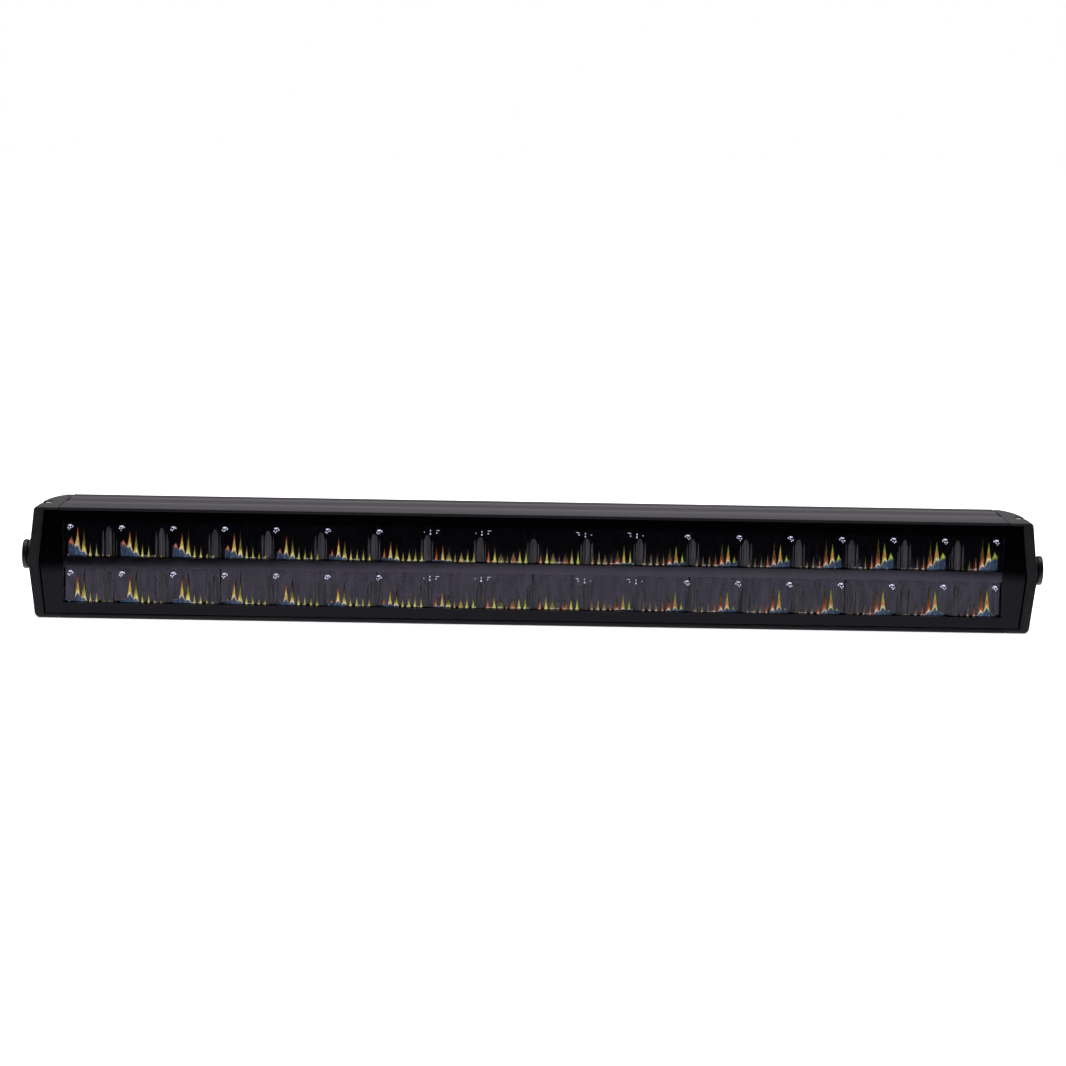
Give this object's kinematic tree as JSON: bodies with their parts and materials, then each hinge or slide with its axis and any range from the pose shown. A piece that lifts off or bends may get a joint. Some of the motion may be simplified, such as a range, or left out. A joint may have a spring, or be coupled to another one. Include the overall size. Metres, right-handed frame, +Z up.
{
  "type": "led light bar",
  "caption": "Straight double-row LED light bar with a clear lens, finned aluminium housing, screwed end caps and side mounting bolts.",
  "frame": {"origin": "middle of the side bolts' axis, which is the centre of the bar's bounding box", "axes": "+X along the bar, -Y out of the lens, +Z up"},
  "size_m": [0.8448, 0.0972, 0.0912],
  "materials": {
    "housing_aluminium": "satin black anodised extrusion",
    "cap_casting": "fine-textured black powder coat",
    "gasket_silicone": "matte black silicone",
    "lens_clear": "clear gloss polycarbonate",
    "print_black": "black printed border",
    "bezel_plastic": "satin black moulding",
    "optic_clear": "clear moulded optic with vertical flutes",
    "board_white": "white solder resist",
    "thermal_pad": "soft grey silicone pad",
    "circuit_green": "green solder resist",
    "coil_ferrite": "dark ferrite",
    "can_aluminium": "bright sleeve",
    "lead_red": "red wire insulation",
    "lead_black": "black wire insulation",
    "nylon_black": "moulded black nylon",
    "bolt_black": "black-plated steel",
    "rubber_black": "matte rubber",
    "stainless": "bright stainless"
  },
  "bodies": {
    "light_bar": {"housing": "housing_aluminium", "end_cap_left": "cap_casting", "end_cap_right": "cap_casting", "end_gasket_left": "gasket_silicone", "end_gasket_right": "gasket_silicone", "lens_gasket": "gasket_silicone", "front_lens": "lens_clear", "lens_border": "print_black", "bezel_frame": "bezel_plastic", "optic_upper_1": "optic_clear", "optic_upper_2": "optic_clear", "optic_upper_3": "optic_clear", "optic_upper_4": "optic_clear", "optic_upper_5": "optic_clear", "optic_upper_6": "optic_clear", "optic_lower_1": "optic_clear", "optic_lower_2": "optic_clear", "optic_lower_3": "optic_clear", "optic_lower_4": "optic_clear", "optic_lower_5": "optic_clear", "optic_lower_6": "optic_clear", "led_board_1": "board_white", "led_board_2": "board_white", "led_board_3": "board_white", "led_board_4": "board_white", "led_board_5": "board_white", "led_board_6": "board_white", "board_link_1": "nylon_black", "board_link_2": "nylon_black", "board_link_3": "nylon_black", "board_link_4": "nylon_black", "board_link_5": "nylon_black", "thermal_pad": "thermal_pad", "driver_board": "circuit_green", "driver_inductor_1": "coil_ferrite", "driver_inductor_2": "coil_ferrite", "driver_capacitor_1": "can_aluminium", "driver_capacitor_2": "can_aluminium", "led_lead_positive": "lead_red", "led_lead_negative": "lead_black", "gland_body": "nylon_black", "gland_nut": "nylon_black", "breather_vent": "nylon_black", "gland_seal": "rubber_black", "rubber_washer_left": "rubber_black", "rubber_washer_right": "rubber_black", "cap_screw_left_top": "stainless", "cap_screw_left_bottom": "stainless", "cap_screw_left_back_upper": "stainless", "cap_screw_left_back_lower": "stainless", "cap_screw_right_top": "stainless", "cap_screw_right_bottom": "stainless", "cap_screw_right_back_upper": "stainless", "cap_screw_right_back_lower": "stainless"},
    "left_washer": {"bolt_washer_left": "bolt_black"},
    "left_bolt": {"side_bolt_left": "bolt_black"},
    "right_washer": {"bolt_washer_right": "bolt_black"},
    "right_bolt": {"side_bolt_right": "bolt_black"}
  },
  "joints": [
    {"name": "left_bolt_out", "type": "slide", "parent": "light_bar", "child": "left_washer", "axis": [-1, 0, 0], "range_m": [0, 0.005]},
    {"name": "left_bolt_turn", "type": "hinge", "parent": "left_washer", "child": "left_bolt", "pos_m": [-0.4195, 0, 0], "axis": [-1, 0, 0], "range_deg": [0, 1440]},
    {"name": "right_bolt_out", "type": "slide", "parent": "light_bar", "child": "right_washer", "axis": [1, 0, 0], "range_m": [0, 0.005]},
    {"name": "right_bolt_turn", "type": "hinge", "parent": "right_washer", "child": "right_bolt", "pos_m": [0.4195, 0, 0], "axis": [1, 0, 0], "range_deg": [0, 1440]}
  ],
  "couplings": [
    {"joint": "left_bolt_out", "follows": "left_bolt_turn", "m_per_rad": 0.00019894},
    {"joint": "right_bolt_out", "follows": "right_bolt_turn", "m_per_rad": 0.00019894}
  ]
}
